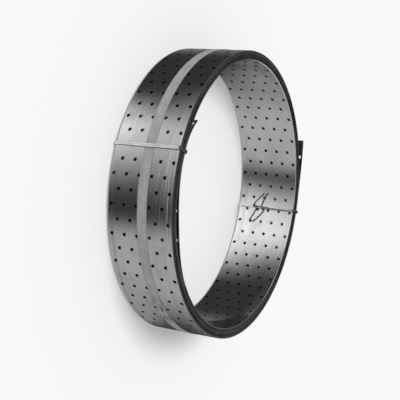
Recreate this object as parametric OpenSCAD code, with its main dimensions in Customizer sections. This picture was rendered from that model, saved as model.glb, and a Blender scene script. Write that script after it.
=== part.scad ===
// Coil of perforated steel strap, lying on its side.
// The coil axis is Z, the origin is the centre of the eye.
// Angles run from +X towards +Y. The coil rests on its lower rim.

/* [Strap] */
// width of the strap (mm)
strap_width = 60; // [58:1:70]
// thickness of the strap (mm)
strap_thickness = 0.91; // [0.85:0.01:1]
// outside diameter of the coil (mm)
coil_diameter = 261; // [250:1:280]
// number of turns in the wound wall
turn_count = 10; // [8:1:12]
// how unevenly the turns lie at the rims (mm)
edge_unevenness = 0.3; // [0:0.05:0.5]
// depth of the line between two turns (mm)
turn_line_depth = 0.35; // [0.2:0.05:0.5]

/* [Holes] */
// diameter of a nail hole (mm)
hole_diameter = 3; // [2.5:0.1:3.5]
// spacing of the holes across the strap (mm)
hole_spacing = 12; // [11:0.5:12.5]
// pitch of the hole rows along the strap (mm)
row_pitch = 12.5; // [12:0.1:14]
// angle of the first counted row on the outer turn (degrees)
outer_row_angle = 145.12; // [144:0.01:147]
// angle of the first counted row on the inner turn (degrees)
inner_row_angle = 72.86; // [71:0.01:75]

/* [Outer end] */
// angle where the outer end leaves the coil (degrees)
outer_end_root = -15; // [-16:0.5:-13]
// free length of the outer end (mm)
outer_end_length = 62; // [58:1:66]
// radius of the outer end's own bend (mm)
outer_end_bend = 420; // [350:10:500]
// how far the outer end has slid towards the upper rim (mm)
outer_end_slide = 1; // [0.4:0.1:1.4]

/* [Inner end] */
// angle where the inner end leaves the coil (degrees)
inner_end_root = 149; // [148.5:0.1:149.4]
// free length of the inner end (mm)
inner_end_length = 28; // [26:0.5:30]
// radius of the inner end's own bend (mm)
inner_end_bend = 50; // [46:1:56]
// height of the slack bow of the innermost turn (mm)
slack_height = 3; // [2.4:0.1:3.6]
// angle of the middle of the slack bow (degrees)
slack_angle = 179.5; // [178.5:0.5:181]
// half of the arc over which the bow is clear of the wall (degrees)
slack_half_arc = 25.5; // [24.5:0.5:26]

/* [Tape] */
// width of the tape (mm)
tape_width = 9; // [7:0.5:12]
// thickness of the tape (mm)
tape_thickness = 0.2; // [0.15:0.05:0.3]
// distance of the tape's middle from the strap's middle, towards the upper rim (mm)
tape_offset = 2.3; // [0:0.1:5]
// angle where the tape starts, under the outer end (degrees)
tape_start = 5; // [3:1:7]
// angle where the tape stops, at the root of the outer end (degrees)
tape_stop = 344; // [342:1:345]

/* [Tie wires] */
// diameter of a tie wire (mm)
wire_diameter = 1.5; // [1.3:0.1:1.6]
// angle of the left tie (degrees)
left_tie_angle = 150.6; // [150.5:0.1:151.5]
// angle of the right tie (degrees)
right_tie_angle = -20.3; // [-21.5:0.1:-19.5]
// distance from the strap's middle to the middle of a twist, towards the lower rim (mm)
twist_place = 8.2; // [0:0.1:12]
// height of a twist above the wall of the eye (mm)
twist_height = 10.9; // [8:0.1:12]
// how far the wire follows the wall below the upper rim before it rises to its twist (mm)
wall_follow = 16; // [8:0.5:17]
// length of a twist (mm)
twist_length = 3; // [2.9:0.1:4]
// reach of a wire end along the rim (mm)
wire_end_reach = 14.7; // [12:0.1:17]
// reach of a wire end across the strap (mm)
wire_end_slant = 6.5; // [5:0.1:8]
// height of a wire end's tip above the wall of the eye (mm)
wire_end_height = 4; // [3:0.1:6]

/* [Hidden] */
$fn = 128;
steel = "silver";
soft_wire = "gainsboro";
tape_grey = "lightgrey";

coil_radius = coil_diameter / 2;
wall = turn_count * strap_thickness;
eye_radius = coil_radius - wall;
half_width = strap_width / 2;
row_holes = 5;
first_hole_even = -(row_holes / 2 - 0.75) * hole_spacing;
first_hole_odd = first_hole_even - hole_spacing / 2;
outer_row_step = row_pitch / coil_radius * 180 / PI;
inner_row_step = row_pitch / eye_radius * 180 / PI;
// rows counted on the outer turn, from under the outer end round to its root
outer_rows = [-26:36];
// rows counted on the inner turn, from the inner end round to the slack bow
inner_rows = [-10:38];
// the one row of the inner turn that lies under the left tie
inner_tie_row = 48;
// how deep an end starts in the wall, so that its face leaves the wall at an angle
root_sink = 0.3;
// how far a cutter passes the face it opens
cutter_over = 1;
through_over = 0.3;
corner_cut = 0.15;

// place of a cut across the strap for a row of either kind
function first_hole(row) = row % 2 == 0 ? first_hole_even : first_hole_odd;
function unit(angle) = [cos(angle), sin(angle), 0];
function turn_shift(turn) = edge_unevenness * sin(turn * 137.5 + 40);

// outline of the wound wall: flat strap edges with a line between turns, on both rims
module wall_outline() {
    upper_rim = [for (turn = [0:turn_count - 1])
        let (inside = eye_radius + turn * strap_thickness, edge = half_width + turn_shift(turn))
        each [
            [inside, turn == 0 ? edge - corner_cut : half_width - edge_unevenness - turn_line_depth],
            [inside + corner_cut, edge],
            [inside + strap_thickness - corner_cut, edge]
        ]];
    lower_rim = [for (turn = [turn_count - 1:-1:0])
        let (inside = eye_radius + turn * strap_thickness, edge = -half_width + turn_shift(turn))
        each [
            [inside + strap_thickness - corner_cut, edge],
            [inside + corner_cut, edge],
            [inside, turn == 0 ? edge + corner_cut : -half_width + edge_unevenness + turn_line_depth]
        ]];
    outer_face = [
        [coil_radius, half_width + turn_shift(turn_count - 1) - corner_cut],
        [coil_radius, -half_width + turn_shift(turn_count - 1) + corner_cut]
    ];
    polygon(concat(upper_rim, outer_face, lower_rim));
}

// one row of round cutters along the local X axis, from one depth to another
module row_of_cutters(row, from, to) {
    for (column = [0:row_holes - 1])
        translate([from, 0, first_hole(row) + column * hole_spacing])
            rotate([0, 90, 0])
                cylinder(h = to - from, d = hole_diameter);
}

// bent strip of strap round its own centre
module strip(centre, face_radius, start, arc, slide) {
    translate([centre.x, centre.y, 0])
        rotate([0, 0, start])
            rotate_extrude(angle = arc)
                translate([face_radius, slide - half_width])
                    square([strap_thickness, strap_width]);
}

// lifted outer end
outer_end_centre = (coil_radius - root_sink - outer_end_bend) * unit(outer_end_root);
outer_end_arc = outer_end_length / outer_end_bend * 180 / PI;
outer_end_rows = 5;

module outer_end() {
    strip(outer_end_centre, outer_end_bend - strap_thickness, outer_end_root, outer_end_arc, outer_end_slide);
}

module outer_end_holes() {
    for (back = [0:outer_end_rows - 1]) {
        travel = (back + 0.5) * row_pitch / outer_end_bend * 180 / PI;
        translate([outer_end_centre.x, outer_end_centre.y, outer_end_slide])
            rotate([0, 0, outer_end_root + outer_end_arc - travel])
                row_of_cutters(back + 1, outer_end_bend - strap_thickness - through_over, outer_end_bend + cutter_over);
    }
}

// lifted inner end
inner_end_centre = (eye_radius + root_sink - inner_end_bend) * unit(inner_end_root);
inner_end_arc = inner_end_length / inner_end_bend * 180 / PI;
inner_end_rows = 2;

module inner_end() {
    strip(inner_end_centre, inner_end_bend, inner_end_root - inner_end_arc, inner_end_arc, 0);
}

module inner_end_holes() {
    for (back = [0:inner_end_rows - 1]) {
        travel = (back + 0.5) * row_pitch / inner_end_bend * 180 / PI;
        translate([inner_end_centre.x, inner_end_centre.y, 0])
            rotate([0, 0, inner_end_root - inner_end_arc + travel])
                row_of_cutters(back, inner_end_bend - cutter_over, inner_end_bend + strap_thickness + through_over);
    }
}

// slack bow of the innermost turn, between its root and the left tie
slack_half_chord = eye_radius * sin(slack_half_arc);
slack_sag = eye_radius * (1 - cos(slack_half_arc)) - slack_height;
slack_bend = (slack_half_chord * slack_half_chord + slack_sag * slack_sag) / (2 * slack_sag);
slack_centre = (eye_radius - slack_height - slack_bend) * unit(slack_angle);
slack_own_half = asin(slack_half_chord / slack_bend) + 1.2;
slack_row_offset = -3.5;
slack_rows = [-3:4];

module slack_bow() {
    strip(slack_centre, slack_bend, slack_angle - slack_own_half, 2 * slack_own_half, 0);
}

module slack_holes() {
    for (row = slack_rows) {
        travel = slack_row_offset + row * row_pitch / slack_bend * 180 / PI;
        translate([slack_centre.x, slack_centre.y, 0])
            rotate([0, 0, slack_angle + travel])
                row_of_cutters(row, slack_bend - cutter_over, slack_bend + strap_thickness + through_over);
    }
}

module outer_turn_holes() {
    for (row = outer_rows)
        rotate([0, 0, outer_row_angle + row * outer_row_step])
            row_of_cutters(row, coil_radius - strap_thickness, coil_radius + cutter_over);
}

module inner_turn_holes() {
    for (row = inner_rows)
        rotate([0, 0, inner_row_angle - row * inner_row_step])
            row_of_cutters(row, eye_radius - cutter_over, eye_radius + strap_thickness);
    rotate([0, 0, inner_row_angle - inner_tie_row * inner_row_step])
        row_of_cutters(inner_tie_row, eye_radius - cutter_over, eye_radius + strap_thickness);
}

// The strap: one wound wall with both its free ends, and its nail holes
module strap_coil() {
    color(steel)
        difference() {
            union() {
                rotate_extrude() wall_outline();
                outer_end();
                inner_end();
                slack_bow();
            }
            outer_turn_holes();
            inner_turn_holes();
            outer_end_holes();
            inner_end_holes();
            slack_holes();
        }
}

// The tape along the middle of the outer turn
tape_seat = 0.12;

module centre_tape() {
    color(tape_grey)
        rotate([0, 0, tape_start])
            rotate_extrude(angle = tape_stop - tape_start)
                translate([coil_radius + tape_seat, tape_offset - tape_width / 2])
                    square([tape_thickness, tape_width]);
}

// Route of a tie, in its own frame: x outward, y down the coil, z along the rim
wire_radius = wire_diameter / 2;
wire_gap = 0.05;
strand_side = wire_radius + wire_gap / 2;
leg_out = coil_radius + tape_seat + tape_thickness + wire_gap + wire_radius;
leg_in = eye_radius - wire_gap - wire_radius;
leg_side = half_width + edge_unevenness + wire_gap + wire_radius;
wire_bend = wire_radius + 0.45;
rise_place = -leg_side + wire_bend + wall_follow;
bend_steps = 5;
wire_sides = 8;
// the two ends hook round each other by this angle, clear of each other
twist_turn = 180;
twist_steps = 8;
twist_radius = 1.2 * wire_radius;
twist_axis = eye_radius - twist_height;
twist_near_start = 180;
twist_far_start = 0;
// a free end leaves the twist in an easy bend
end_bend = 4 * wire_radius;
end_steps = 6;
tip_radius = eye_radius - wire_end_height;
tip_axis = sqrt(tip_radius * tip_radius - wire_end_reach * wire_end_reach);

function backwards(route) = [for (i = [len(route) - 1:-1:0]) route[i]];

function arc_route(cx, cy, from, to, side) = [for (i = [0:bend_steps])
    let (a = from + (to - from) * i / bend_steps)
    [cx + wire_bend * cos(a), cy + wire_bend * sin(a), side]];

// one round of the wire from the eye over the upper rim, down the outer face and under the lower rim
function round_route(side) = concat(
    arc_route(leg_in + wire_bend, -leg_side + wire_bend, 180, 270, side),
    arc_route(leg_out - wire_bend, -leg_side + wire_bend, 270, 360, side),
    arc_route(leg_out - wire_bend, leg_side - wire_bend, 0, 90, side),
    arc_route(leg_in + wire_bend, leg_side - wire_bend, 90, 180, side));

// one end's way through the twist, from its upper to its lower end
function twist_route(start) = [for (i = [0:twist_steps])
    let (t = i / twist_steps, a = start + twist_turn * t)
    [twist_axis + twist_radius * cos(a), twist_place + twist_length * (t - 0.5), twist_radius * sin(a)]];

// free end behind a twist: hooks back and runs along the rim, down to its tip near the wall
function free_end(twisted, rim_way) =
    let (
        start = twisted[twist_steps],
        bend = start + end_bend * norm_of(start - twisted[twist_steps - 1]),
        tip = [tip_axis, twist_place - rim_way * wire_end_slant, rim_way * wire_end_reach]
    )
    [for (i = [1:end_steps])
        let (t = i / end_steps)
        (1 - t) * (1 - t) * start + 2 * t * (1 - t) * bend + t * t * tip];

// the whole wire: free end, twist, two rounds side by side, twist and free end
function tie_route() =
    let (
        from_upper_rim = twist_route(twist_near_start),
        from_lower_rim = backwards(twist_route(twist_far_start))
    )
    concat(
        backwards(free_end(from_upper_rim, 1)),
        backwards(from_upper_rim),
        [[leg_in, rise_place, -strand_side]],
        round_route(-strand_side),
        [[leg_in, rise_place, strand_side]],
        round_route(strand_side),
        from_lower_rim,
        free_end(from_lower_rim, -1)
    );

// sweep of a round section along a route, with a frame carried from point to point
function norm_of(v) = v / norm(v);
function way(route, i) =
    i == 0 ? norm_of(route[1] - route[0])
    : i == len(route) - 1 ? norm_of(route[i] - route[i - 1])
    : norm_of(norm_of(route[i] - route[i - 1]) + norm_of(route[i + 1] - route[i]));
function carried(side, along) = norm_of(side - (side * along) * along);
function side_start(along) = carried(abs(along.x) < 0.9 ? [1, 0, 0] : [0, 1, 0], along);

module swept_wire(route) {
    last = len(route) - 1;
    sides = [for (i = 0, s = side_start(way(route, 0)); i <= last;
        i = i + 1, s = i <= last ? carried(s, way(route, i)) : s) s];
    rings = [for (i = [0:last])
        let (along = way(route, i), across = cross(along, sides[i]))
        each [for (k = [0:wire_sides - 1])
            let (a = 360 * k / wire_sides)
            route[i] + wire_radius * (cos(a) * sides[i] + sin(a) * across)]];
    skin = [for (i = [0:last - 1], k = [0:wire_sides - 1])
        let (a = i * wire_sides + k, b = i * wire_sides + (k + 1) % wire_sides)
        each [[a, a + wire_sides, b], [b, a + wire_sides, b + wire_sides]]];
    start_cap = [[for (k = [0:wire_sides - 1]) k]];
    end_cap = [[for (k = [wire_sides - 1:-1:0]) last * wire_sides + k]];
    polyhedron(points = rings, faces = concat(skin, start_cap, end_cap));
}

// One tie: a wire wound twice round the wall, its two ends twisted together in the eye
module tie(angle) {
    color(soft_wire)
        rotate([0, 0, angle])
            rotate([-90, 0, 0])
                swept_wire(tie_route());
}

module tie_wire_left() {
    tie(left_tie_angle);
}

module tie_wire_right() {
    tie(right_tie_angle);
}

strap_coil();
centre_tape();
tie_wire_left();
tie_wire_right();
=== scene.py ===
"""Looks of a coil of perforated steel strap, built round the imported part.

Lengths are in metres and angles in degrees. The coil's axis is Z and angles run from +X towards +Y.
"""
import math
import bmesh
import bpy
from mathutils import Matrix, Vector, kdtree, noise


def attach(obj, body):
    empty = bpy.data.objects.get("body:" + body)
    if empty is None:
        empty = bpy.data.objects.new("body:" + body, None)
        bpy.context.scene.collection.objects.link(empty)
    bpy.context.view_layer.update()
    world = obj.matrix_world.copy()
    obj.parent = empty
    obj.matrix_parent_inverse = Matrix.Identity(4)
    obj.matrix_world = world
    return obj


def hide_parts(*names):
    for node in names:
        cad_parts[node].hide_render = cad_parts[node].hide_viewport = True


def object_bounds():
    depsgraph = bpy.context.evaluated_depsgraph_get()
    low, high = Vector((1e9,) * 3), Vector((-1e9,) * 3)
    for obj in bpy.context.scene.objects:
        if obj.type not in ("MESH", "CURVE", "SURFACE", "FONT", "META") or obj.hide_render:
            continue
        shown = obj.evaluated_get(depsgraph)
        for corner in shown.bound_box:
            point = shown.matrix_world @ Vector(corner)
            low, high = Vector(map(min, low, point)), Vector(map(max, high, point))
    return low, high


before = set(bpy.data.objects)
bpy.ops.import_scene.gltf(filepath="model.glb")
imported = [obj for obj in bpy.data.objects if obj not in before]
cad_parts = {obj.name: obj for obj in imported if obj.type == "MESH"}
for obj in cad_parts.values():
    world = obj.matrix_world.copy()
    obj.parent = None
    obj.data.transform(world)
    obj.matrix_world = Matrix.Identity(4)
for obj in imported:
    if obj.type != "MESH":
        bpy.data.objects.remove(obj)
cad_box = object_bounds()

MM = 0.001

# Strap
STRAP_WIDTH = 60 * MM
STRAP_THICKNESS = 0.91 * MM
COIL_RADIUS = 130.5 * MM
EYE_RADIUS = 121.4 * MM
EDGE_UNEVENNESS = 0.3 * MM
EDGE_STEP = math.radians(137.5)
EDGE_START = math.radians(40)
EDGE_ROUND = 0.09 * MM
PACKED_ROUND = 0.2 * MM
SLOW_WAVE = (45 * MM, 90 * MM)
SLOW_WAVE_HEIGHT = 0.07 * MM
QUICK_WAVE = (16 * MM, 30 * MM)
QUICK_WAVE_HEIGHT = 0.014 * MM
QUICK_WAVE_SEED = 7
OUTER_WAVE_SEED = 3
INNER_WAVE_SEED = 11

# Tests that sort edges and faces; a face's tilt is the height of its normal
NEARLY = 0.01 * MM
CORNER_ANGLE = math.radians(60)
SHARP_ANGLE = math.radians(30)
UPRIGHT = 0.5
LYING = 0.9

# Marks on the steel: stretches counted along the strap, patterns as waves per metre, depths of relief
WORN_STRETCH = (410 * MM, 470 * MM)
# Stretch where the inner turn's cut edge is painted as a highlight: pale and non-metal
HIGHLIGHT_STRETCH = (310 * MM, 610 * MM)
HIGHLIGHT_FADE = 50 * MM
FINE_LINES = (6, 700, 1)
BROAD_LINES = (3, 210, 1)
LONG_MARKS = (8, 1300, 1)
SMUDGES = 38.0
SPECKS = 420.0
STEEL_RELIEF = 0.01 * MM
SHEAR_MARKS = 900.0
# Waves per metre along the strap of the painted light and shade of the turns' edges
TURN_SHADES = 1.9
DULL_PATCHES = 60.0
SHEAR_RELIEF = 0.02 * MM
TORN_MARKS = 1300.0
TORN_RELIEF = 0.03 * MM
# Patches in the painted shade of the faces between the turns
SHADE_PATCHES = 22.0

# Nail holes
HOLE_RADIUS = 1.5 * MM
HOLE_SPACING = 12 * MM
ROW_PITCH = 12.5 * MM
ROW_HOLES = 5
FIRST_HOLE_EVEN = 21 * MM
FIRST_HOLE_ODD = 27 * MM
CELLS_ALONG = 4
CELLS_ACROSS = 20
WEB_INSET = 1.3 * MM
HOLE_ROLL = 0.08 * MM

# Outer turn and its lifted end
OUTER_ROOT = -15
OUTER_END_LENGTH = 62 * MM
OUTER_END_BEND = 420 * MM
OUTER_END_SLIDE = 1 * MM
OUTER_ROW_ANGLE = 145.12
OUTER_ROWS = 76
OUTER_ROWS_TO_TIP = 41

# Inner turn and its lifted end
INNER_ROOT = 149
INNER_END_LENGTH = 28 * MM
INNER_END_BEND = 50 * MM
INNER_ROW_ANGLE = 72.86
INNER_ROWS = 73
INNER_ROWS_TO_TIP = 50
SLACK_HEIGHT = 3 * MM
SLACK_ANGLE = 179.5
SLACK_HALF_ARC = 25.5

# Finishes of the strap, in the order of its material slots
OUTER_FACE, INNER_FACE, HIDDEN_FACE, OUTER_EDGE, INNER_EDGE, PACKED_EDGE, HOLE_WALL = range(7)

# Turns between the outer and the inner one
MIDDLE_TURNS = 7.29
MIDDLE_STEPS = 700

# Tape
TAPE_WIDTH = 9 * MM
TAPE_THICKNESS = 0.2 * MM
TAPE_OFFSET = 2.3 * MM
TAPE_SEAT = 0.03 * MM
TAPE_START = 2.3 * MM
TAPE_STOP = 774 * MM
TAPE_STEPS = 900
TAPE_CELLS = 12
DIMPLE_DEPTH = 0.2 * MM
DIMPLE_REACH = 1.25 * MM
CREASE_GRAIN = (10 * MM, 2 * MM)
CREASE_SEED = 5
CREASE_LIFT = 0.14 * MM
CREASED_SPACING = 30 * MM
CREASED_LINE = 2
CREASED_SEED = 9
CREASED_LOW = 0.05
CREASED_RANGE = 0.3
CRUMPLE_PLACE = 286 * MM
CRUMPLE_REACH = 19 * MM
CRUMPLE_LIFT = 0.7 * MM
# How the folds of the crumpled stretch are painted dark as shade
FOLD_SHADE_LEVEL = 0.3
FOLD_SHADE_SLOPE = 3
SIDE_WANDER = 0.12 * MM
SIDE_WANDER_LENGTH = 20 * MM
SIDE_WANDER_LINES = (4, 8)
SIDE_WANDER_SEED = 1
TAPE_WEAVE = 1600.0
TAPE_STREAKS = (30, 500, 1)
TAPE_CLOUDS = 90.0
TAPE_RELIEF = 0.012 * MM

# Tie wires
WIRE_RADIUS = 0.75 * MM
WIRE_GAP = 0.05 * MM
WIRE_SIDES = 12
WIRE_BEND = 1.2 * MM
WIRE_BEND_STEPS = 5
LEFT_TIE_ANGLE = 150.6
LEFT_TIE_SLACK = 1 * MM
RIGHT_TIE_ANGLE = -20.3
RIGHT_TIE_SLACK = 0
TWIST_PLACE = 8.2 * MM
TWIST_HEIGHT = 10.9 * MM
WALL_FOLLOW = 16 * MM
TWIST_LENGTH = 3 * MM
TWIST_TURN = 180
TWIST_STEPS = 12
TWIST_RADIUS = 0.9 * MM
UPPER_TWIST_START = 180
LOWER_TWIST_START = 0
END_REACH = 14.7 * MM
END_SLANT = 6.5 * MM
END_HEIGHT = 4 * MM
END_BEND = 2.5 * MM
END_STEPS = 8
# Share of the painted shade where the wire crosses the rims
RIM_SHADE = 0.6
WIRE_BRIGHT = 0.97
WIRE_DULL = 0.88
WIRE_PATCHES = 90.0
DIE_LINES = 1500.0
DIE_RELIEF = 0.004 * MM


def unit(angle):
    """Direction across the axis at an angle in degrees."""
    turn = math.radians(angle)
    return Vector((math.cos(turn), math.sin(turn), 0))


def ease(amount):
    """Smooth step from 0 to 1."""
    held = min(1.0, max(0.0, amount))
    return held * held * (3 - 2 * held)


def finish_piece(name, shape, materials, node):
    """Makes an object of a bmesh, stands it for its CAD node and gives it its finish."""
    mesh = bpy.data.meshes.new(name)
    shape.to_mesh(mesh)
    shape.free()
    mesh.polygons.foreach_set("use_smooth", [True] * len(mesh.polygons))
    mesh.set_sharp_from_angle(angle=SHARP_ANGLE)
    for material in materials:
        mesh.materials.append(material)
    piece = bpy.data.objects.new(name, mesh)
    bpy.context.scene.collection.objects.link(piece)
    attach(piece, "root")
    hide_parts(node)


# Shader tools

class Value:
    """A socket that takes part in Python arithmetic, each operation adding a Math node."""

    def __init__(self, shader, socket):
        self.shader = shader
        self.socket = socket

    def maths(self, operation, first, second):
        inputs = {0: first, 1: second}
        return self.shader.node("ShaderNodeMath", {"operation": operation}, inputs)[0]

    def __add__(self, other):
        return self.maths("ADD", self, other)

    def __radd__(self, other):
        return self.maths("ADD", other, self)

    def __sub__(self, other):
        return self.maths("SUBTRACT", self, other)

    def __rsub__(self, other):
        return self.maths("SUBTRACT", other, self)

    def __mul__(self, other):
        return self.maths("MULTIPLY", self, other)

    def __rmul__(self, other):
        return self.maths("MULTIPLY", other, self)


class Shader:
    """The node tree of one material or of the world."""

    def __init__(self, tree):
        self.tree = tree
        tree.nodes.clear()

    def node(self, kind, settings=None, inputs=None):
        """Adds a node, sets its settings, then its sockets, and gives its outputs as values."""
        made = self.tree.nodes.new(kind)
        for name, setting in (settings or {}).items():
            setattr(made, name, setting)
        for key, given in (inputs or {}).items():
            if isinstance(given, Value):
                self.tree.links.new(given.socket, made.inputs[key])
            else:
                made.inputs[key].default_value = given
        outputs = {}
        for index, socket in enumerate(made.outputs):
            outputs[index] = Value(self, socket)
            outputs.setdefault(socket.name, outputs[index])
        return outputs

    def between(self, value, low, high):
        """0 below low, 1 above high, smooth between."""
        settings = {"interpolation_type": "SMOOTHSTEP"}
        inputs = {"Value": value, "From Min": low, "From Max": high}
        return self.node("ShaderNodeMapRange", settings, inputs)["Result"]

    def grain(self, vector, scale, detail=3.0, roughness=0.5):
        """Noise from 0 to 1."""
        inputs = {"Vector": vector, "Scale": scale, "Detail": detail, "Roughness": roughness}
        return self.node("ShaderNodeTexNoise", None, inputs)["Fac"]

    def stretched(self, vector, scale):
        """A vector multiplied along each axis."""
        inputs = {0: vector, 1: scale}
        return self.node("ShaderNodeVectorMath", {"operation": "MULTIPLY"}, inputs)[0]

    def blend(self, share, first, second):
        """Mix of two colours."""
        inputs = {0: share, 6: first, 7: second}
        return self.node("ShaderNodeMix", {"data_type": "RGBA"}, inputs)[2]

    def bump(self, height, distance):
        """Normal of a fine relief."""
        inputs = {"Height": height, "Distance": distance}
        return self.node("ShaderNodeBump", None, inputs)["Normal"]


def grey(level, warmth=0.0):
    """Near neutral colour."""
    return (level * (1 + warmth), level, level * (1 - warmth), 1)


def new_material(name):
    """A material and its empty node tree."""
    material = bpy.data.materials.new(name)
    material.use_nodes = True
    return material, Shader(material.node_tree)


def surface(shader, inputs):
    """Ends a material with its Principled shader."""
    made = shader.node("ShaderNodeBsdfPrincipled", None, inputs)
    shader.node("ShaderNodeOutputMaterial", None, {"Surface": made["BSDF"]})


def rolled_steel(name, clean, smudged, wear, worn_side):
    """Bright rolled strap: fine lines along it, cloudy smudges, rub marks and scratches by its edges."""
    material, shader = new_material(name)
    flat = shader.node("ShaderNodeUVMap", {"uv_map": "strap"})["UV"]
    parts = shader.node("ShaderNodeSeparateXYZ", None, {"Vector": flat})
    along, across = parts["X"], parts["Y"]
    off_middle = shader.node("ShaderNodeMath", {"operation": "ABSOLUTE"}, {0: across})[0]
    by_edge = shader.between(off_middle, 0.25 * STRAP_WIDTH, 0.48 * STRAP_WIDTH)
    lines = shader.grain(shader.stretched(flat, FINE_LINES), 1.0, 4.0)
    broad = shader.grain(shader.stretched(flat, BROAD_LINES), 1.0)
    long_marks = shader.grain(shader.stretched(flat, LONG_MARKS), 1.0)
    clouds = shader.grain(flat, SMUDGES, 5.0, 0.6)
    specks = shader.grain(flat, SPECKS)
    smudge = shader.between(clouds, 0.42, 0.72)
    speck = shader.between(specks, 0.6, 0.75)
    by_worn_side = shader.between(worn_side * across, 0.2 * STRAP_WIDTH, 0.46 * STRAP_WIDTH)
    handled = 1 - shader.between(along, *WORN_STRETCH)
    rubbed = wear * shader.between(broad, 0.5, 0.68) * (0.25 + 0.75 * by_edge)
    scratch = wear * shader.between(long_marks, 0.54, 0.62) * by_worn_side * handled
    tone = shader.blend(smudge, grey(clean), grey(smudged, 0.01))
    tone = shader.blend(speck * 0.3, tone, grey(0.5 * smudged, 0.02))
    tone = shader.blend(rubbed * 0.5, tone, grey(0.55 * smudged))
    tone = shader.blend(scratch * 0.6, tone, grey(1.5 * clean))
    rough = 0.1 + 0.06 * lines + 0.05 * smudge + 0.1 * rubbed + 0.42 * scratch
    height = 0.5 * lines + 0.9 * broad + 0.25 * specks
    surface(shader, {
        "Base Color": tone,
        "Metallic": 1.0,
        "Roughness": rough,
        "Normal": shader.bump(height, STEEL_RELIEF),
    })
    return material


def sheared_edge(name, bright, shade_and_dirt_tone, edge_highlight_share):
    """Cut edges of the strap: dull, with marks of the shear and random dull patches, each turn lighter or
    darker as painted light and shade, and pale along one stretch as a painted highlight.
    """
    material, shader = new_material(name)
    place = shader.node("ShaderNodeTexCoord")["Object"]
    flat = shader.node("ShaderNodeUVMap", {"uv_map": "strap"})["UV"]
    along = shader.node("ShaderNodeSeparateXYZ", None, {"Vector": flat})["X"]
    marks = shader.grain(place, SHEAR_MARKS, 4.0)
    # Painted light and shade: each turn's edge lighter or darker at random, for turns that catch the light
    # or lie in shade
    turn = shader.grain(shader.node("ShaderNodeCombineXYZ", None, {"X": along})[0], TURN_SHADES, 2.0)
    dull = shader.between(shader.grain(place, DULL_PATCHES), 0.3, 0.7)
    # Mix of the painted turn shade and the random dull patches
    turn_shade_and_dirt = 0.75 * shader.between(turn, 0.4, 0.56) + 0.25 * dull
    # Painted highlight: along this stretch the edge turns non-metal, so its pale colour shows as a bright
    # line
    begin, end = HIGHLIGHT_STRETCH
    edge_highlight = shader.between(along, begin, begin + HIGHLIGHT_FADE)
    edge_highlight = edge_highlight * (1 - shader.between(along, end, end + HIGHLIGHT_FADE))
    surface(shader, {
        "Base Color": shader.blend(turn_shade_and_dirt, grey(bright), grey(shade_and_dirt_tone, 0.02)),
        "Metallic": 1 - edge_highlight_share * edge_highlight,
        "Roughness": 0.34 + 0.16 * marks,
        "Normal": shader.bump(marks, SHEAR_RELIEF),
    })
    return material


def punched_wall():
    """Walls of the nail holes, painted dark as shade inside the holes, with torn marks of the punch."""
    material, shader = new_material("punched_wall")
    place = shader.node("ShaderNodeTexCoord")["Object"]
    torn = shader.grain(place, TORN_MARKS)
    surface(shader, {
        # Near black colour: painted shade in the holes; the torn marks only vary it
        "Base Color": shader.blend(torn, grey(0.05), grey(0.16, 0.02)),
        "Metallic": 1.0,
        "Roughness": 0.4 + 0.2 * torn,
        "Normal": shader.bump(torn, TORN_RELIEF),
    })
    return material


def hidden_shade_steel():
    """Faces that lie between the turns, painted near black as shade, with faint lighter patches."""
    material, shader = new_material("hidden_shade_steel")
    place = shader.node("ShaderNodeTexCoord")["Object"]
    shade_patch = shader.between(shader.grain(place, SHADE_PATCHES, 2.0), 0.5, 0.6)
    surface(shader, {
        "Base Color": shader.blend(shade_patch, grey(0.02, 0.02), grey(0.09)),
        "Metallic": 1.0,
        "Roughness": 0.4 - 0.2 * shade_patch,
    })
    return material


def matt_tape():
    """Grey adhesive tape: matt and faintly streaked, with painted shade at its edges, in its dimples and in
    its folds.
    """
    material, shader = new_material("matt_tape")
    flat = shader.node("ShaderNodeUVMap", {"uv_map": "tape"})["UV"]
    across = shader.node("ShaderNodeSeparateXYZ", None, {"Vector": flat})["Y"]
    off_middle = shader.node("ShaderNodeMath", {"operation": "ABSOLUTE"}, {0: across})[0]
    edge = shader.between(off_middle, 0.43 * TAPE_WIDTH, 0.5 * TAPE_WIDTH)
    weave = shader.grain(flat, TAPE_WEAVE, 2.0)
    streak = shader.between(shader.grain(shader.stretched(flat, TAPE_STREAKS), 1.0), 0.35, 0.7)
    cloud = shader.between(shader.grain(flat, TAPE_CLOUDS, 4.0, 0.6), 0.35, 0.7)
    tone = shader.blend(cloud, grey(0.47), grey(0.39, 0.01))
    tone = shader.blend(0.35 * streak, tone, grey(0.26, 0.01))
    # Painted shadow line along both edges of the tape
    tone = shader.blend(0.5 * edge, tone, grey(0.16, 0.02))
    # Painted shade in the dimples over the hidden holes
    dimple_and_shade = shader.node("ShaderNodeAttribute", {"attribute_name": "dimple_and_shade"})["Fac"]
    tone = shader.blend(0.4 * dimple_and_shade, tone, grey(0.2, 0.01))
    # Painted shade, near black, in the folds of the crumpled stretch
    fold_shade = shader.node("ShaderNodeAttribute", {"attribute_name": "fold_shade"})["Fac"]
    tone = shader.blend(0.9 * fold_shade, tone, grey(0.06, 0.01))
    surface(shader, {
        "Base Color": tone,
        "Roughness": 0.5 + 0.16 * cloud,
        "Normal": shader.bump(weave, TAPE_RELIEF),
    })
    return material


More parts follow.
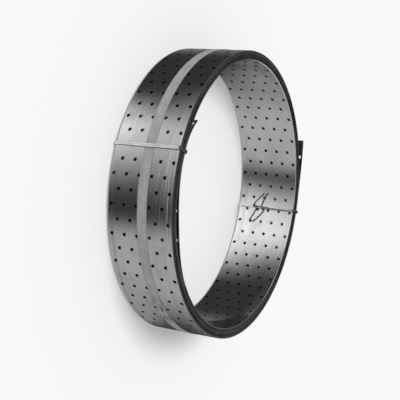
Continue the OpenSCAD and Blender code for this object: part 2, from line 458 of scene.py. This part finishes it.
def drawn_soft_wire():
    """Soft wire with die lines and dull patches, with painted shade on its twist and where it crosses the
    rims.
    """
    material, shader = new_material("soft_wire")
    place = shader.node("ShaderNodeTexCoord")["Object"]
    patch = shader.between(shader.grain(place, WIRE_PATCHES), 0.4, 0.7)
    lines = shader.grain(place, DIE_LINES)
    bent = shader.node("ShaderNodeAttribute", {"attribute_name": "bent"})["Fac"]
    tone = shader.blend(patch, grey(WIRE_BRIGHT), grey(WIRE_DULL, 0.01))
    surface(shader, {
        # Painted shade on the twist and the rim crossings
        "Base Color": shader.blend(0.8 * bent, tone, grey(0.05, 0.02)),
        "Metallic": 1.0,
        "Roughness": 0.26 + 0.08 * patch + 0.06 * lines,
        "Normal": shader.bump(lines, DIE_RELIEF),
    })
    return material


# Strap

def hole_places(row):
    """Places across the strap of the holes of a row, even or odd."""
    first = FIRST_HOLE_EVEN if row % 2 == 0 else FIRST_HOLE_ODD
    return [first - HOLE_SPACING * column for column in range(ROW_HOLES)]


def plain_sheet(length, steps, cells):
    """Flat strap, x along it from 0 and y across it."""
    sheet = bmesh.new()
    bmesh.ops.create_grid(sheet, x_segments=steps, y_segments=cells, size=0.5)
    bmesh.ops.scale(sheet, vec=(length, STRAP_WIDTH, 1), verts=sheet.verts)
    bmesh.ops.translate(sheet, vec=(length / 2, 0, 0), verts=sheet.verts)
    return sheet


def punch(sheet, centres):
    """Opens a round hole at each centre, which is a vertex of the sheet's grid."""
    grid = kdtree.KDTree(len(sheet.verts))
    sheet.verts.ensure_lookup_table()
    for vert in sheet.verts:
        grid.insert(vert.co, vert.index)
    grid.balance()
    punched = [sheet.verts[grid.find(centre)[1]] for centre in centres]
    bmesh.ops.dissolve_verts(sheet, verts=punched)
    slugs = [face for face in sheet.faces if len(face.verts) > 4]
    bmesh.ops.inset_individual(sheet, faces=slugs, thickness=WEB_INSET, use_even_offset=True)
    rims = list({edge for slug in slugs for edge in slug.edges})
    bmesh.ops.delete(sheet, geom=slugs, context="FACES_ONLY")
    split = bmesh.ops.subdivide_edges(sheet, edges=rims, cuts=1)
    ring = {vert for edge in rims if edge.is_valid for vert in edge.verts}
    ring.update(item for item in split["geom_inner"] if isinstance(item, bmesh.types.BMVert))
    spots = kdtree.KDTree(len(centres))
    for index, centre in enumerate(centres):
        spots.insert(centre, index)
    spots.balance()
    for vert in ring:
        centre = Vector(spots.find(vert.co)[0])
        vert.co = centre + HOLE_RADIUS * (vert.co - centre).normalized()


def on_border(item, ends):
    """Whether an edge or face lies wholly on a side or an end of the flat strap."""
    for vert in item.verts:
        off_side = abs(abs(vert.co.y) - STRAP_WIDTH / 2)
        off_end = min(abs(vert.co.x - end) for end in ends)
        if min(off_side, off_end) > PACKED_ROUND + NEARLY:
            return False
    return True


def thicken(sheet, face_finish, edge_finish, edge_round):
    """Gives the flat strap its thickness below z 0, rounds its edges and sets its finishes."""
    bmesh.ops.recalc_face_normals(sheet, faces=sheet.faces)
    if sum(face.normal.z for face in sheet.faces) < 0:
        bmesh.ops.reverse_faces(sheet, faces=sheet.faces)
    bmesh.ops.solidify(sheet, geom=list(sheet.faces), thickness=STRAP_THICKNESS)
    top = max(vert.co.z for vert in sheet.verts)
    bmesh.ops.translate(sheet, vec=(0, 0, -top), verts=sheet.verts)
    sheet.normal_update()
    ends = (min(vert.co.x for vert in sheet.verts), max(vert.co.x for vert in sheet.verts))
    corners = [edge for edge in sheet.edges if edge.is_manifold and edge.calc_face_angle() > CORNER_ANGLE]
    sides = [edge for edge in corners if on_border(edge, ends)]
    punched = [edge for edge in corners if not on_border(edge, ends)]
    for edges, offset in ((punched, HOLE_ROLL), (sides, edge_round)):
        bmesh.ops.bevel(sheet, geom=edges, offset=offset, offset_type="OFFSET", segments=1,
                        profile=0.5, affect="EDGES", material=-1, clamp_overlap=True)
    sheet.normal_update()
    for face in sheet.faces:
        tilt = abs(face.normal.z)
        bordering = on_border(face, ends)
        face.material_index = face_finish
        if bordering and tilt < UPRIGHT:
            face.material_index = edge_finish
        if not bordering and tilt < LYING:
            face.material_index = HOLE_WALL


def keep_flat_map(sheet, start):
    """Keeps each point's place on the flat strap as its UV map."""
    flat_map = sheet.loops.layers.uv.new("strap")
    for face in sheet.faces:
        for loop in face.loops:
            loop[flat_map].uv = (loop.vert.co.x + start, loop.vert.co.y)


def edge_shift(turns):
    """How far a turn lies off the others along the axis."""
    return EDGE_UNEVENNESS * math.sin(EDGE_STEP * turns + EDGE_START)


def waviness(along, across, seed):
    """Small unevenness of the wound strap, as height off its face."""
    slow = noise.noise(Vector((along / SLOW_WAVE[0], across / SLOW_WAVE[1], seed)))
    quick = noise.noise(Vector((along / QUICK_WAVE[0], across / QUICK_WAVE[1], seed + QUICK_WAVE_SEED)))
    return SLOW_WAVE_HEIGHT * slow + QUICK_WAVE_HEIGHT * quick


def outer_course(along, across, height):
    """Place of a point of the outer turn: along is counted from the root of its free end."""
    lift = height + waviness(along, across, OUTER_WAVE_SEED)
    if along < 0:
        bend = OUTER_END_BEND
        centre = (COIL_RADIUS + STRAP_THICKNESS / 2 - bend) * unit(OUTER_ROOT)
        place = centre + (bend + lift) * unit(OUTER_ROOT + math.degrees(-along / bend))
        place.z = edge_shift(0) - across + OUTER_END_SLIDE * ease(-along / OUTER_END_LENGTH)
        return place
    turns = along / (2 * math.pi * COIL_RADIUS)
    radius = COIL_RADIUS + STRAP_THICKNESS * (0.5 - turns)
    place = (radius + lift) * unit(OUTER_ROOT - 360 * turns)
    place.z = edge_shift(turns) - across
    return place


def inner_course(along, across, height):
    """Place of a point of the inner turn: along is counted from the tip of its free end."""
    lift = height + waviness(along, across, INNER_WAVE_SEED)
    past_root = along - INNER_END_LENGTH
    if past_root < 0:
        bend = INNER_END_BEND
        centre = (EYE_RADIUS - STRAP_THICKNESS / 2 - bend) * unit(INNER_ROOT)
        place = centre + (bend + lift) * unit(INNER_ROOT + math.degrees(past_root / bend))
        place.z = across
        return place
    turns = past_root / (2 * math.pi * EYE_RADIUS)
    angle = INNER_ROOT + 360 * turns
    radius = EYE_RADIUS + STRAP_THICKNESS * (turns - 0.5)
    off_slack = abs(angle - SLACK_ANGLE) / SLACK_HALF_ARC
    if off_slack < 1:
        radius -= SLACK_HEIGHT * math.cos(off_slack * math.pi / 2) ** 2
    place = (radius + lift) * unit(angle)
    place.z = edge_shift(-turns) + across
    return place


def wind(sheet, start, course):
    """Winds a flat strap on its course."""
    for vert in sheet.verts:
        vert.co = course(vert.co.x + start, vert.co.y, vert.co.z)


def cut_off(sheet, tip):
    """Cuts the flat strap off square at its tip."""
    everything = list(sheet.verts) + list(sheet.edges) + list(sheet.faces)
    bmesh.ops.bisect_plane(sheet, geom=everything, plane_co=(tip, 0, 0), plane_no=(1, 0, 0),
                           clear_inner=True)


def outer_turn():
    """The outer turn with its holes and its free end, until it is well under itself."""
    counted = math.radians(OUTER_ROOT + 360 - OUTER_ROW_ANGLE) * COIL_RADIUS
    start = counted - (OUTER_ROWS_TO_TIP + 0.5) * ROW_PITCH
    sheet = plain_sheet(OUTER_ROWS * ROW_PITCH, OUTER_ROWS * CELLS_ALONG, CELLS_ACROSS)
    centres = [Vector((ROW_PITCH * (row + 0.5), across, 0))
               for row in range(OUTER_ROWS) for across in hole_places(OUTER_ROWS_TO_TIP - row)]
    punch(sheet, centres)
    cut_off(sheet, -OUTER_END_LENGTH - start)
    thicken(sheet, OUTER_FACE, OUTER_EDGE, EDGE_ROUND)
    keep_flat_map(sheet, start)
    wind(sheet, start, outer_course)
    return sheet, start + OUTER_ROWS * ROW_PITCH


def inner_turn():
    """The inner turn with its holes, its slack bow and its free end."""
    counted = math.radians(INNER_ROW_ANGLE + 360 - INNER_ROOT) * EYE_RADIUS + INNER_END_LENGTH
    start = counted - (INNER_ROWS_TO_TIP + 0.5) * ROW_PITCH
    sheet = plain_sheet(INNER_ROWS * ROW_PITCH, INNER_ROWS * CELLS_ALONG, CELLS_ACROSS)
    centres = [Vector((ROW_PITCH * (row + 0.5), -across, 0))
               for row in range(INNER_ROWS) for across in hole_places(INNER_ROWS_TO_TIP - row)]
    punch(sheet, centres)
    cut_off(sheet, -start)
    thicken(sheet, INNER_FACE, INNER_EDGE, EDGE_ROUND)
    bmesh.ops.translate(sheet, vec=(0, 0, STRAP_THICKNESS), verts=sheet.verts)
    keep_flat_map(sheet, start)
    wind(sheet, start, inner_course)
    return sheet, start + INNER_ROWS * ROW_PITCH


def middle_turns(outer_stop, inner_stop):
    """The plain turns between the outer and the inner one, which show only their edges."""
    outer_turns = outer_stop / (2 * math.pi * COIL_RADIUS)
    inner_turns = (inner_stop - INNER_END_LENGTH) / (2 * math.pi * EYE_RADIUS)
    first_radius = COIL_RADIUS + STRAP_THICKNESS * (0.5 - outer_turns)
    last_radius = EYE_RADIUS + STRAP_THICKNESS * (inner_turns + 0.5)
    first_angle = OUTER_ROOT - 360 * outer_turns
    wound = first_angle - (INNER_ROOT + 360 * inner_turns)
    turns = wound / 360 + round(MIDDLE_TURNS - wound / 360)
    length = turns * math.pi * (first_radius + last_radius)
    sheet = plain_sheet(length, MIDDLE_STEPS, 1)
    thicken(sheet, HIDDEN_FACE, PACKED_EDGE, PACKED_ROUND)
    keep_flat_map(sheet, 0)

    def course(along, across, height):
        share = along / length
        radius = first_radius + (last_radius - first_radius) * share
        place = (radius + height) * unit(first_angle - 360 * turns * share)
        place.z = edge_shift(outer_turns + turns * share) - across
        return place

    wind(sheet, 0, course)
    return sheet


def strap_coil():
    """The whole strap as one piece."""
    outer, outer_stop = outer_turn()
    inner, inner_stop = inner_turn()
    middle = middle_turns(outer_stop, inner_stop)
    for part in (inner, middle):
        carried = bpy.data.meshes.new("carried")
        part.to_mesh(carried)
        part.free()
        outer.from_mesh(carried)
        bpy.data.meshes.remove(carried)
    materials = (
        # Outer face a shade darker than the inner: painted shade; its heavier rub marks and scratches are
        # wear
        rolled_steel("handled_shaded_steel", clean=0.5, smudged=0.4, wear=1.0, worn_side=-1),
        rolled_steel("clean_lit_steel", clean=0.54, smudged=0.47, wear=0.4, worn_side=1),
        # Faces between the turns, seen only through the holes: painted shade
        hidden_shade_steel(),
        sheared_edge("outer_edge", bright=0.95, shade_and_dirt_tone=0.6, edge_highlight_share=0),
        # Inner turn's cut edge, with a painted highlight along a stretch
        sheared_edge("inner_edge", bright=0.95, shade_and_dirt_tone=0.6, edge_highlight_share=0.8),
        sheared_edge("packed_edge", bright=0.9, shade_and_dirt_tone=0.2, edge_highlight_share=0),
        punched_wall(),
    )
    finish_piece("wound_strap", outer, materials, "strap_coil")


# Tape

def tape_strip():
    """Tape along the middle of the outer turn, dimpled over the holes that it hides, and creased."""
    length = TAPE_STOP - TAPE_START
    tape = bmesh.new()
    bmesh.ops.create_grid(tape, x_segments=TAPE_STEPS, y_segments=TAPE_CELLS, size=0.5)
    bmesh.ops.scale(tape, vec=(length, TAPE_WIDTH, 1), verts=tape.verts)
    bmesh.ops.translate(tape, vec=(length / 2 + TAPE_START, -TAPE_OFFSET, 0), verts=tape.verts)
    counted = math.radians(OUTER_ROOT + 360 - OUTER_ROW_ANGLE) * COIL_RADIUS
    first_row = math.ceil((counted - TAPE_STOP) / ROW_PITCH)
    last_row = math.floor((counted - TAPE_START) / ROW_PITCH)
    rows = range(first_row, last_row + 1)
    holes = kdtree.KDTree(len(rows) * ROW_HOLES)
    for index, row in enumerate(rows):
        for across in hole_places(row):
            holes.insert(Vector((counted - ROW_PITCH * row, across, 0)), index)
    holes.balance()
    bmesh.ops.solidify(tape, geom=list(tape.faces), thickness=TAPE_THICKNESS)
    low = min(vert.co.z for vert in tape.verts)
    bmesh.ops.translate(tape, vec=(0, 0, TAPE_SEAT - low), verts=tape.verts)
    bmesh.ops.recalc_face_normals(tape, faces=tape.faces)
    flat_map = tape.loops.layers.uv.new("tape")
    for face in tape.faces:
        for loop in face.loops:
            loop[flat_map].uv = (loop.vert.co.x, loop.vert.co.y + TAPE_OFFSET)
    dimple_and_shade = tape.verts.layers.float.new("dimple_and_shade")
    fold_shade = tape.verts.layers.float.new("fold_shade")
    for vert in tape.verts:
        along, across, height = vert.co
        reach = holes.find(Vector((along, across, 0)))[2] / DIMPLE_REACH
        # Dimple profile: sets the dimple's depth and its painted shade
        vert[dimple_and_shade] = math.exp(-reach * reach)
        sink = DIMPLE_DEPTH * vert[dimple_and_shade]
        crease = noise.noise(Vector((along / CREASE_GRAIN[0], across / CREASE_GRAIN[1], CREASE_SEED)))
        loose = noise.noise(Vector((along / CREASED_SPACING, CREASED_LINE, CREASED_SEED)))
        creased = ease((loose - CREASED_LOW) / CREASED_RANGE)
        crumpled = math.exp(-((along - CRUMPLE_PLACE) / CRUMPLE_REACH) ** 2)
        lifted = (CREASE_LIFT * creased + CRUMPLE_LIFT * crumpled) * max(0.0, crease)
        # Mask of the painted shade in the valleys of the folds
        vert[fold_shade] = crumpled * ease(FOLD_SHADE_LEVEL - FOLD_SHADE_SLOPE * crease)
        line = SIDE_WANDER_LINES[0] if across > 0 else SIDE_WANDER_LINES[1]
        side = SIDE_WANDER * noise.noise(Vector((along / SIDE_WANDER_LENGTH, line, SIDE_WANDER_SEED)))
        vert.co = outer_course(along, across + side, height - sink + lifted)
    finish_piece("centre_tape_strip", tape, (matt_tape(),), "centre_tape")


# Tie wires

def wire_arc(out, down, start, stop, side):
    """Bend of a wire round a corner of the wall, in the tie's own frame."""
    route = []
    for step in range(WIRE_BEND_STEPS + 1):
        corner = start + (stop - start) * step / WIRE_BEND_STEPS
        route.append(Vector((out, down, side)) + WIRE_BEND * unit(corner))
    return route


def wire_round(inside, outside, side, slack):
    """One round of the wire: up the eye's wall, over the upper rim, down outside and under the lower rim."""
    leg_in = inside - WIRE_GAP - WIRE_RADIUS
    leg_out = outside + WIRE_GAP + WIRE_RADIUS
    leg_side = STRAP_WIDTH / 2 + EDGE_UNEVENNESS + WIRE_GAP + WIRE_RADIUS
    route = [Vector((leg_in, WIRE_BEND - leg_side + WALL_FOLLOW, side))]
    route += wire_arc(leg_in + WIRE_BEND, WIRE_BEND - leg_side, 180, 270, side)
    route += wire_arc(leg_out + slack - WIRE_BEND, WIRE_BEND - leg_side, 270, 360, side)
    route += wire_arc(leg_out - WIRE_BEND, leg_side - WIRE_BEND, 0, 90, side)
    return route + wire_arc(leg_in + WIRE_BEND, leg_side - WIRE_BEND, 90, 180, side)


def twisted(inside, start):
    """Way of one wire end through the twist, from its upper to its lower end."""
    route = []
    for step in range(TWIST_STEPS + 1):
        share = step / TWIST_STEPS
        spoke = TWIST_RADIUS * unit(start + TWIST_TURN * share)
        down = TWIST_PLACE + TWIST_LENGTH * (share - 0.5)
        route.append(Vector((inside - TWIST_HEIGHT + spoke.x, down, spoke.y)))
    return route


def free_end(inside, twist, rim_way):
    """End of the wire behind the twist: hooks back and runs along the rim, down to its tip near the wall."""
    start = twist[-1]
    bend = start + END_BEND * (twist[-1] - twist[-2]).normalized()
    out = math.sqrt((inside - END_HEIGHT) ** 2 - END_REACH ** 2)
    tip = Vector((out, TWIST_PLACE - rim_way * END_SLANT, rim_way * END_REACH))
    shares = [step / END_STEPS for step in range(1, END_STEPS + 1)]
    return [start.lerp(bend, share).lerp(bend.lerp(tip, share), share) for share in shares]


def tie_route(inside, outside, slack):
    """Route of a tie: x outward, y down the coil and z along the rim."""
    side = WIRE_RADIUS + WIRE_GAP / 2
    from_upper_rim = twisted(inside, UPPER_TWIST_START)
    from_lower_rim = twisted(inside, LOWER_TWIST_START)[::-1]
    route = free_end(inside, from_upper_rim, 1)[::-1] + from_upper_rim[::-1]
    route += wire_round(inside, outside, -side, slack) + wire_round(inside, outside, side, slack)
    return route + from_lower_rim + free_end(inside, from_lower_rim, -1)


def draw_wire(tie, route, place):
    """A round wire along a route: a ring extruded from point to point, marked for its painted shade."""
    path = [place @ point for point in route]
    last = len(path) - 1
    ways = []
    for index, point in enumerate(path):
        before = path[index - 1] if index > 0 else 2 * point - path[1]
        after = path[index + 1] if index < last else 2 * point - path[last - 1]
        ways.append(((point - before).normalized() + (after - point).normalized()).normalized())
    turned = Vector((0, 0, 1)).rotation_difference(ways[0]).to_matrix().to_4x4()
    start = Matrix.Translation(path[0]) @ turned
    bent = tie.verts.layers.float.new("bent")
    ring = bmesh.ops.create_circle(tie, cap_ends=True, segments=WIRE_SIDES, radius=WIRE_RADIUS,
                                   matrix=start)["verts"]
    for vert in ring:
        vert[bent] = 1
    rim = list({edge for vert in ring for edge in vert.link_edges})
    for index in range(1, last + 1):
        grown = bmesh.ops.extrude_edge_only(tie, edges=rim)["geom"]
        ring = [item for item in grown if isinstance(item, bmesh.types.BMVert)]
        fresh = set(ring)
        rim = [item for item in grown if isinstance(item, bmesh.types.BMEdge)
               and item.verts[0] in fresh and item.verts[1] in fresh]
        turn = ways[index - 1].rotation_difference(ways[index]).to_matrix()
        bmesh.ops.rotate(tie, cent=path[index - 1], matrix=turn, verts=ring)
        bmesh.ops.translate(tie, vec=path[index] - path[index - 1], verts=ring)
        in_twist = min(index, last - index) < END_STEPS + TWIST_STEPS
        over_rim = abs(path[index].z) > STRAP_WIDTH / 2
        for vert in ring:
            # Painted shade: full on the twist and its ends, a share over the rims
            vert[bent] = 1 if in_twist else RIM_SHADE * over_rim
    bmesh.ops.contextual_create(tie, geom=rim)


def tie_wire(name, angle, slack, node, material):
    """One wire wound twice round the wall, its two ends twisted together in the eye."""
    from_root = ((OUTER_ROOT - angle) % 360) / 360
    outside = COIL_RADIUS + STRAP_THICKNESS * (0.5 - from_root) + TAPE_SEAT + TAPE_THICKNESS
    past_root = ((angle - INNER_ROOT) % 360) / 360
    inside = EYE_RADIUS + STRAP_THICKNESS * (past_root - 0.5)
    place = Matrix.Rotation(math.radians(angle), 4, "Z") @ Matrix.Rotation(math.radians(-90), 4, "X")
    tie = bmesh.new()
    draw_wire(tie, tie_route(inside, outside, slack), place)
    bmesh.ops.recalc_face_normals(tie, faces=tie.faces)
    finish_piece(name, tie, (material,), node)


# Stage

VIEW_AZIMUTH = -61.161
VIEW_HEIGHT = 14.188
VIEW_ROLL = -1.011
VIEW_SIDE = 13.431 * MM
VIEW_RISE = 7.232 * MM
VIEW_DISTANCE = 855.045 * MM
VIEW_LENS = 83.309
SENSOR_WIDTH = 36
NEAREST_SEEN = 10 * MM
FLOOR_REACH = 6.0
FLOOR_COLOUR = 0.65
FLOOR_GLOW = 0.18
BACKGROUND = 0.93
SOFT_LIGHT = 0.54
KEY_STRENGTH = 2.2
KEY_BREADTH = 28
KEY_AROUND = 112
KEY_HEIGHT = 66

# What the metal mirrors, in bands: round the axis in degrees, up and down as the sine of the slope
EYE_SIDE = (-0.485, -0.455)
OUTER_FAR = (-0.495, -0.56)
EYE_FAR = (-0.385, -0.445)
SASH_FOOT = (-0.54, -0.5)
SASH_HEAD = (-0.475, -0.445)
SASH_SHADE = 0.5
LOW_PANE_START = (98, 128)
LOW_PANE_START_SHIFT = (-22, -8)
LOW_PANE_END = (106, 166)
LOW_PANE_END_SHIFT = (6, 14)
LOW_PANE_LIGHT = 1.2
LOW_PANE_GAIN = 0.5
HIGH_PANE_START = (100, 136)
HIGH_PANE_START_SHIFT = (-30, -10)
HIGH_PANE_END = (134, 190)
HIGH_PANE_END_SHIFT = (18, 0)
HIGH_PANE_LIGHT = 1.15
HIGH_PANE_GAIN = 0.9
TABLE_START = (187, 212)
TABLE_START_SHIFT = (-6, -10)
TABLE_FADE = (240, 275)
TABLE_FADE_SHADE = 0.25
TABLE_FADE_GAIN = 0.15
TABLE_LIGHT = 0.62
DARK_END = (256, 305)
FAR_END = (300, 325)
FAR_END_SHADE = 0.92
LIT_BELOW = (-0.47, -0.515)
LIT_ABOVE = (-0.455, -0.425)
GROUND_START = (340, 358)
GROUND_END = (6, 34)
GROUND_LIGHT = 0.16
BEHIND = (-0.68, -0.84)
BEHIND_LIGHT = 0.9
IN_FRONT = (-0.12, 0.1)
FRONT_SHADE = 0.9
OVERHEAD = (0.35, 0.6)
OVERHEAD_LIGHT = 0.075
STRAIGHT_UP = (0.9, 0.99)
STRAIGHT_UP_LIGHT = 0.3
ROOM_LIGHT = 0.052


def stand_camera():
    """The camera, set for the coil on its rim and laid over with it."""
    across = math.radians(VIEW_AZIMUTH)
    height = math.radians(VIEW_HEIGHT)
    roll = math.radians(VIEW_ROLL)
    back = math.cos(height) * Vector((math.sin(across), -math.cos(across), 0))
    back.z = math.sin(height)
    right = Vector((0, 0, 1)).cross(back).normalized()
    up = back.cross(right)
    side = math.cos(roll) * right + math.sin(roll) * up
    rise = math.cos(roll) * up - math.sin(roll) * right
    place = VIEW_DISTANCE * back - VIEW_SIDE * side - VIEW_RISE * rise
    turned = Matrix((side, rise, back)).transposed().to_4x4()
    laid_over = Matrix.Rotation(math.radians(-90), 4, "X")
    lens = bpy.data.cameras.new("camera")
    lens.lens = VIEW_LENS
    lens.sensor_width = SENSOR_WIDTH
    lens.sensor_fit = "HORIZONTAL"
    lens.clip_start = NEAREST_SEEN
    camera = bpy.data.objects.new("camera", lens)
    camera.matrix_world = laid_over @ Matrix.Translation(place) @ turned
    bpy.context.scene.collection.objects.link(camera)
    bpy.context.scene.camera = camera


def pale_floor(level):
    """Pale floor under the coil, with the coil's soft shadow."""
    material, shader = new_material("pale_floor")
    lit = shader.node("ShaderNodeBsdfDiffuse", None, {"Color": grey(FLOOR_COLOUR)})["BSDF"]
    glow = shader.node("ShaderNodeEmission", None, {"Color": grey(1.0), "Strength": FLOOR_GLOW})["Emission"]
    both = shader.node("ShaderNodeAddShader", None, {0: lit, 1: glow})[0]
    shader.node("ShaderNodeOutputMaterial", None, {"Surface": both})
    plane = bmesh.new()
    bmesh.ops.create_grid(plane, x_segments=1, y_segments=1, size=FLOOR_REACH)
    bmesh.ops.translate(plane, vec=(0, 0, level), verts=plane.verts)
    mesh = bpy.data.meshes.new("floor")
    plane.to_mesh(mesh)
    plane.free()
    mesh.materials.append(material)
    floor = bpy.data.objects.new("floor", mesh)
    floor.visible_glossy = False
    floor.visible_diffuse = False
    floor.visible_shadow = False
    bpy.context.scene.collection.objects.link(floor)


def slid(band, shift, share):
    """Edges of a band, each moved by a share of its shift."""
    return [edge + move * share for edge, move in zip(band, shift)]


def studio_in_metal(shader):
    """Level of what the metal mirrors: two window panes, a pale table with a dark end, a dim room."""
    way = shader.node("ShaderNodeTexCoord")["Generated"]
    parts = shader.node("ShaderNodeSeparateXYZ", None, {"Vector": way})
    x, y, z = parts["X"], parts["Y"], parts["Z"]
    turned = shader.node("ShaderNodeMath", {"operation": "ARCTAN2"}, {0: -1 * y, 1: -1 * x})[0]
    around = 180 + turned * math.degrees(1)
    eye_side = shader.between(z, *EYE_SIDE)
    outer_far = shader.between(z, *OUTER_FAR)
    eye_far = shader.between(z, *EYE_FAR)
    sash = shader.between(z, *SASH_FOOT) * (1 - shader.between(z, *SASH_HEAD))
    low_pane = shader.between(around, *slid(LOW_PANE_START, LOW_PANE_START_SHIFT, outer_far))
    low_pane = low_pane * (1 - shader.between(around, *slid(LOW_PANE_END, LOW_PANE_END_SHIFT, outer_far)))
    low_pane = low_pane * (LOW_PANE_LIGHT + LOW_PANE_GAIN * outer_far)
    high_pane = shader.between(around, *slid(HIGH_PANE_START, HIGH_PANE_START_SHIFT, eye_far))
    high_pane = high_pane * (1 - shader.between(around, *slid(HIGH_PANE_END, HIGH_PANE_END_SHIFT, eye_far)))
    high_pane = high_pane * (HIGH_PANE_LIGHT + HIGH_PANE_GAIN * eye_far)
    window = (low_pane + (high_pane - low_pane) * eye_side) * (1 - SASH_SHADE * sash)
    lit_end = shader.between(z, *LIT_BELOW) + shader.between(z, *LIT_ABOVE)
    dark_end = shader.between(around, *DARK_END)
    far_end = shader.between(around, *FAR_END)
    fade = TABLE_FADE_SHADE + TABLE_FADE_GAIN * eye_side
    table = shader.between(around, *slid(TABLE_START, TABLE_START_SHIFT, eye_side))
    table = table * (1 - fade * shader.between(around, *TABLE_FADE))
    table = table * (1 - dark_end + (dark_end - FAR_END_SHADE * far_end) * lit_end)
    ground = shader.between(around, *GROUND_START) + 1 - shader.between(around, *GROUND_END)
    behind = shader.between(z, *BEHIND)
    in_front = shader.between(z, *IN_FRONT)
    overhead = OVERHEAD_LIGHT * shader.between(z, *OVERHEAD)
    overhead = overhead + STRAIGHT_UP_LIGHT * shader.between(z, *STRAIGHT_UP)
    around_coil = window + TABLE_LIGHT * table + GROUND_LIGHT * ground
    around_coil = around_coil * (1 - behind) * (1 - FRONT_SHADE * in_front)
    return ROOM_LIGHT + around_coil + BEHIND_LIGHT * behind + overhead


def studio_world():
    """Plain soft light for matt things, a striped studio for metal and a pale backdrop."""
    world = bpy.data.worlds.new("studio")
    world.use_nodes = True
    shader = Shader(world.node_tree)
    rays = shader.node("ShaderNodeLightPath")
    mirrored = studio_in_metal(shader)
    plain = shader.node("ShaderNodeBackground", None, {"Color": grey(1.0), "Strength": SOFT_LIGHT})[0]
    studio = shader.node("ShaderNodeBackground", None, {"Color": grey(1.0), "Strength": mirrored})[0]
    backdrop = shader.node("ShaderNodeBackground", None, {"Color": grey(1.0), "Strength": BACKGROUND})[0]
    lit = shader.node("ShaderNodeMixShader", None, {0: rays["Is Glossy Ray"], 1: plain, 2: studio})[0]
    seen = shader.node("ShaderNodeMixShader", None, {0: rays["Is Camera Ray"], 1: lit, 2: backdrop})[0]
    shader.node("ShaderNodeOutputWorld", None, {"Surface": seen})
    bpy.context.scene.world = world


def soft_key():
    """One broad soft lamp, far away and high, from the upper side of the picture."""
    lamp = bpy.data.lights.new("key", "SUN")
    lamp.energy = KEY_STRENGTH
    lamp.angle = math.radians(KEY_BREADTH)
    holder = bpy.data.objects.new("key", lamp)
    towards = math.cos(math.radians(KEY_HEIGHT)) * unit(KEY_AROUND)
    towards.z = math.sin(math.radians(KEY_HEIGHT))
    holder.visible_glossy = False
    holder.rotation_euler = towards.to_track_quat("Z", "Y").to_euler()
    bpy.context.scene.collection.objects.link(holder)


strap_coil()
tape_strip()
soft_wire = drawn_soft_wire()
tie_wire("tie_left", LEFT_TIE_ANGLE, LEFT_TIE_SLACK, "tie_wire_left", soft_wire)
tie_wire("tie_right", RIGHT_TIE_ANGLE, RIGHT_TIE_SLACK, "tie_wire_right", soft_wire)
pale_floor(cad_box[0].z)
studio_world()
soft_key()
stand_camera()
bpy.context.scene.view_settings.view_transform = "Standard"
